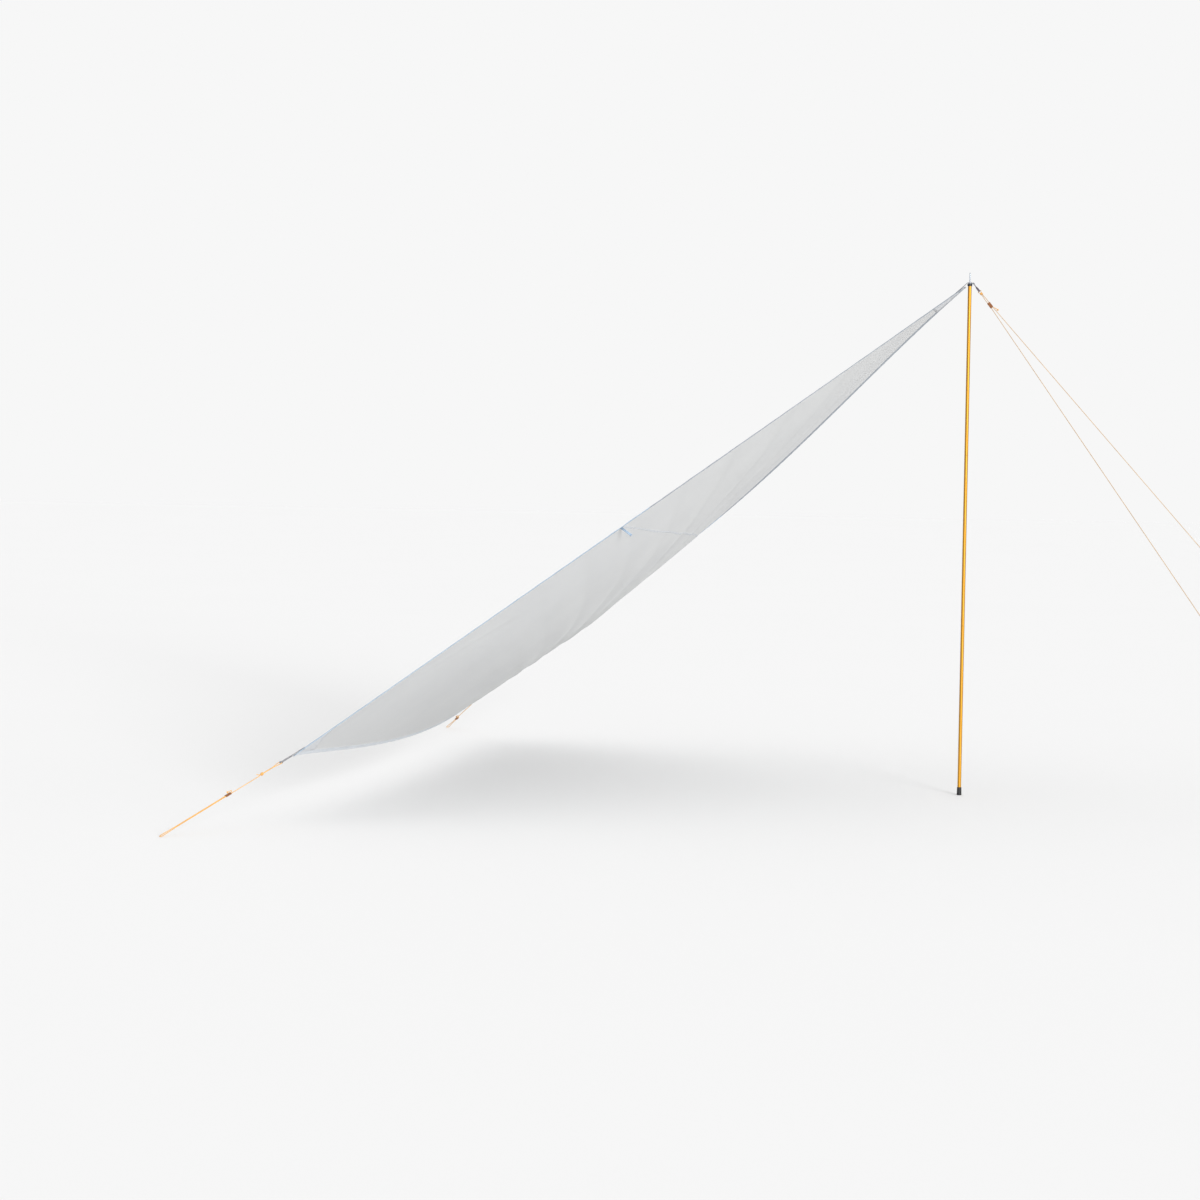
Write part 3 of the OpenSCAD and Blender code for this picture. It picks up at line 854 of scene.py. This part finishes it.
def loop_route(ring_at, radius, start, gap_start, gap_end, fold_from):
    """Side view of webbing that comes in on top, goes round a ring and back below."""
    top = [(start, gap_start), (fold_from, gap_end)]
    turn = np.linspace(math.radians(150), math.radians(-150), 19)
    around = [(ring_at + radius * math.cos(a), radius * math.sin(a)) for a in turn]
    below = [(fold_from, -gap_end), (start, -gap_start)]
    return top + around + below


def corner_strap(name, node, line):
    """Webbing sewn over the corner, folded round the cord's eye and back."""
    side_view = loop_route(STRAP_RING_AT, 4.1, -62, 2.4, 0.8, 60)
    side_view.insert(1, (0, 2.0))
    side_view.insert(-1, (0, -2.0))
    path = eased(line.at([(x, 0, z) for x, z in side_view]), 0.004, 4)
    x = (path - line.start) @ line.ahead / MM
    twist = np.clip((x - 2) / 30, 0, 1)[:, None]
    twist = twist * twist * (3 - 2 * twist)
    in_plane = np.cross(UPWARD, line.ahead)
    in_plane = in_plane / np.linalg.norm(in_plane)
    if np.dot(in_plane, line.side) < 0:
        in_plane = -in_plane
    lift = (path - line.start) @ line.above
    flat_up = np.cross(line.ahead, in_plane)
    path = path + (1 - twist) * lift[:, None] * (flat_up - line.above)
    wide = in_plane * (1 - twist) + line.side * twist
    strap = ribbon(name, path, wide, 12 * MM, 1.4 * MM, grey_webbing)
    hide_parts(node)
    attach(strap, "root")
    return strap


def edge_loop(name, node, u, v, heading, dip, long, roll):
    """A folded loop of tape sewn under the middle of a side."""
    start = on_cloth(u * FALL, u * CORNER_Y * (2 * v - 1), -2.2 * MM)
    heading = math.radians(heading)
    dip = math.radians(dip)
    ahead = np.array([math.cos(heading) * math.cos(dip), math.sin(heading) * math.cos(dip), -math.sin(dip)])
    line = Line(start, start + ahead)
    side_view = loop_route(long, 2.4, -2, 0.7, 0.7, long - 6)
    angle = math.radians(roll)
    wide = line.side * math.cos(angle) + line.above * math.sin(angle)
    up = np.cross(line.ahead, wide)
    flat = line.start + np.array([x * line.ahead + z * up for x, z in side_view]) * MM
    path = eased(flat, 0.002, 4)
    tape = ribbon(name, path, np.repeat(wide[None, :], len(path), axis=0), 10 * MM, 1.1 * MM, loop_tape)
    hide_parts(node)
    return tape


def guy_strap():
    """The short webbing between the spike's link and the peak guyline, with a quarter turn in it."""
    turn = np.linspace(math.radians(150), math.radians(-150), 17)
    link_end = [(-3.5 * math.cos(a), 3.5 * math.sin(a)) for a in turn]
    cord_end = [(GUY_RING_AT + 4.3 * math.cos(a), 4.3 * math.sin(a)) for a in turn]
    gap = 0.75
    side_view = [(18, -gap), (12, -gap)] + link_end[::-1] + [(12, gap), (28, gap)]
    side_view += cord_end + [(28, -gap), (19, -gap)]
    points = []
    wide = []
    for x, off in side_view:
        twist = min(max((x - 12) / 16, 0), 1) * math.pi / 2
        up = fork_line.above * math.cos(twist) + fork_line.side * math.sin(twist)
        points.append(fork_line.start + (fork_line.ahead * x + up * off) * MM)
        wide.append(np.cross(fork_line.ahead, up))
    strap = ribbon("guy_webbing", np.array(points), np.array(wide), 9 * MM, 1.3 * MM, guy_webbing)
    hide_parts("guy_strap")
    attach(strap, "upper_section")
    return strap


PAD_Z = POLE_H + 0.0056


def peak_strap():
    """Webbing that holds the cloth's peak: an eye round the spike and a leg sewn along the cloth's top."""
    slope = math.atan2(APEX_Z - CORNER_Z, CORNER_X)
    down = np.array([-math.cos(slope), 0, -math.sin(slope)])
    base = np.array([0, 0, APEX_Z])
    run = [np.array([-0.007, 0, PAD_Z]), np.array([-0.0105, 0, PAD_Z - 0.4 * MM])]
    run += [base + down * d + UPWARD * h * MM for d, h in ((0.04, 3.3), (0.058, 2.3), (0.075, 2.0))]
    path = eased(np.array(run), 0.004, 5)
    wide = np.repeat(np.array([[0.0, 1.0, 0.0]]), len(path), axis=0)
    leg = ribbon("peak_strap_top", path, wide, 22 * MM, 1.5 * MM, grey_webbing)
    turn = np.linspace(0, 2 * math.pi, 40, endpoint=False)
    section = [(5.5, -1.1), (10.4, -1.1), (11.0, -0.6), (11.0, 0.6), (10.4, 1.1), (5.5, 1.1)]
    size = len(section)
    eye_points = []
    faces = []
    uvs = []
    for i, a in enumerate(turn):
        eye_points += [(r * MM * math.cos(a), r * MM * math.sin(a), PAD_Z + z * MM) for r, z in section]
        for k in range(size):
            k2 = (k + 1) % size
            j = (i + 1) % len(turn)
            faces.append((i * size + k, j * size + k, j * size + k2, i * size + k2))
            b = a + turn[1]
            r0, r1 = section[k][0] * MM, section[k2][0] * MM
            uvs.append(((r0, a * 0.01), (r0, b * 0.01), (r1, b * 0.01), (r1, a * 0.01)))
    eye = piece("peak_strap_eye", eye_points, faces, grey_webbing, uvs)
    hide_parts("peak_strap")
    for part in (leg, eye):
        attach(part, "upper_section")


# ---- Knots and cords ----


def knot(name, node, line, centre, material, body, strands=1.7, turns=3.2):
    """Turns of cord round a doubled strand."""
    radius = strands + CORD_D / MM
    winding = helix(line, centre, turns, radius + 0.1, 2.75)
    obj = cord_piece(name, winding, material)
    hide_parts(node)
    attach(obj, body)
    return obj


def stopper(name, node, centre, axis, material, body):
    """An overhand knot at a cord's end."""
    t = np.linspace(0.15, 2 * math.pi - 0.15, 60)
    axis = np.array(axis, float) / np.linalg.norm(axis)
    one = np.cross(axis, (0.2, 0.9, 0.3))
    one = one / np.linalg.norm(one)
    two = np.cross(axis, one)
    x = (np.sin(t) + 2 * np.sin(2 * t)) * 1.25 * MM
    y = (np.cos(t) - 2 * np.cos(2 * t)) * 1.25 * MM
    z = -np.sin(3 * t) * 1.5 * MM
    path = np.array(centre) + x[:, None] * one + y[:, None] * two + z[:, None] * axis
    obj = cord_piece(name, path, material, CORD_D * 0.95)
    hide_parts(node)
    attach(obj, body)
    return obj


def low_guyline(side, line, tensioner_at):
    route = low_route(line, tensioner_at)
    path = eased(route)
    cord = cord_piece(f"{side}_cord", path, low_cord)
    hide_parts(f"{side}_guyline")
    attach(cord, "root")
    eye_knot = knot(f"{side}_eye_knot", f"{side}_knot", line, EYE_KNOT_AT, low_cord, "root")
    tail = line.at([(tensioner_at + 13, 0.7, 10.4)])[0]
    tail_knot = stopper(f"{side}_stopper", f"{side}_tail_knot", tail, line.ahead, low_cord, "root")


def peak_leg(side, fork, peg):
    route = leg_route(fork, peg)
    path = eased(route)
    cord = cord_piece(f"{side}_peak_cord", path, leg_cord)
    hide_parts(f"{side}_leg")
    start = fork_line.at(fork)[-1]
    leg = Line(start, peg)
    end_knot = knot(
        f"{side}_peg_knot", f"{side}_leg_knot", leg, leg.length / MM - LEG_KNOT_BACK, leg_cord, "root"
    )
    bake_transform(cord)


def loose_end():
    route = fork_line.at(LOOSE_END)
    path = eased(route)
    cord = cord_piece("peak_loose_end", path, low_cord)
    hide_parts("peak_tail")
    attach(cord, "peak_slider")
    knot_at = fork_line.at([(157, 4.4, 13.2)])[0]
    end = stopper("peak_stopper", "peak_tail_knot", knot_at, fork_line.ahead, low_cord, "peak_slider")


low_guyline("near", near_line, NEAR_AT)
low_guyline("far", far_line, FAR_AT)
peak_leg("near", flipped(FORK), near_leg_peg)
peak_leg("far", FORK, far_leg_peg)
loose_end()
knot("peak_hitch", "peak_knot", fork_line, PEAK_KNOT_AT, low_cord, "upper_section")


def shock_cord():
    """The elastic inside the pole, a straight cord."""
    low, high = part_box("shock_cord")
    path = np.array([[0, 0, z] for z in np.linspace(low[2] + 0.003, high[2] - 0.003, 40)])
    cord = cord_piece("pole_elastic", path, stretch_cord)
    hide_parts("shock_cord")
    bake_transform(cord)


shock_cord()

# ---- The cloth and what is sewn to it ----

sheet = canopy()
sewn = make_hems() + [seam()] + make_patches()
sewn.append(edge_loop("near_loop_tape", "near_edge_loop", 0.542, 0.004, 0, 35, 50, 50))
sewn.append(edge_loop("far_loop_tape", "far_edge_loop", 0.553, 0.985, 180, 44, 32, 20))
for part in [sheet] + sewn:
    follow_peak(part)
peak_strap()
guy_strap()
corner_strap("near_corner_strap", "near_strap", near_line)
corner_strap("far_corner_strap", "far_strap", far_line)

# ---- Pole details ----


def joint_lip(name, z, body):
    """The rolled lip of a tube at a joint."""
    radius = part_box("middle_tube")[1][0]
    turn = np.linspace(0, 2 * math.pi, 48, endpoint=False)
    section = [(0.0, -1.2), (0.16, -0.9), (0.2, 0.0), (0.16, 0.9), (0.0, 1.2), (-0.1, 0.0)]
    points = []
    faces = []
    uvs = []
    size = len(section)
    for i, a in enumerate(turn):
        for out, up in section:
            r = radius + out * MM
            points.append((r * math.cos(a), r * math.sin(a), z + up * MM))
        for k in range(size):
            k2 = (k + 1) % size
            j = (i + 1) % len(turn)
            faces.append((i * size + k, j * size + k, j * size + k2, i * size + k2))
            uvs.append(((0, 0), (0, MM), (MM, MM), (MM, 0)))
    lip = piece(name, points, faces, gold, uvs)
    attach(lip, body)


joint_lip("lower_lip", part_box("lower_tube")[1][2] - 1.3 * MM, "root")
joint_lip("middle_lip_low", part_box("middle_tube")[0][2] + 1.3 * MM, "middle_section")
joint_lip("middle_lip_high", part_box("middle_tube")[1][2] - 1.3 * MM, "middle_section")
joint_lip("upper_lip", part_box("upper_tube")[0][2] + 1.3 * MM, "upper_section")

# ---- Floor, light and background ----


FLOOR_HALF = 60
WORLD_STRENGTH = 0.93
SUN_FROM = (0.50, -0.83, 0.20)
SUN_SPREAD = 16
SUN_STRENGTH = 3.0


def make_stage():
    half = FLOOR_HALF
    floor = piece(
        "floor",
        [(-half, -half, 0), (half, -half, 0), (half, half, 0), (-half, half, 0)],
        [(0, 1, 2, 3)],
        floor_material(),
        smooth=False,
    )
    floor.location.z = -0.0006
    world = bpy.data.worlds.new("studio")
    bpy.context.scene.world = world
    world.use_nodes = True
    sky = world.node_tree.nodes["Background"]
    sky.inputs["Color"].default_value = (1, 1, 1, 1)
    sky.inputs["Strength"].default_value = WORLD_STRENGTH


def soft_sun(name, from_way, spread, strength):
    """A wide sun: the same soft light at every place, so that the floor has no bright pool."""
    data = bpy.data.lights.new(name, "SUN")
    data.angle = math.radians(spread)
    data.energy = strength
    lamp = bpy.data.objects.new(name, data)
    lamp.rotation_mode = "QUATERNION"
    lamp.rotation_quaternion = Vector([-x for x in from_way]).to_track_quat("-Z", "Y")
    bpy.context.scene.collection.objects.link(lamp)


make_stage()
soft_sun("key", SUN_FROM, SUN_SPREAD, SUN_STRENGTH)
bpy.context.scene.view_settings.view_transform = "Standard"
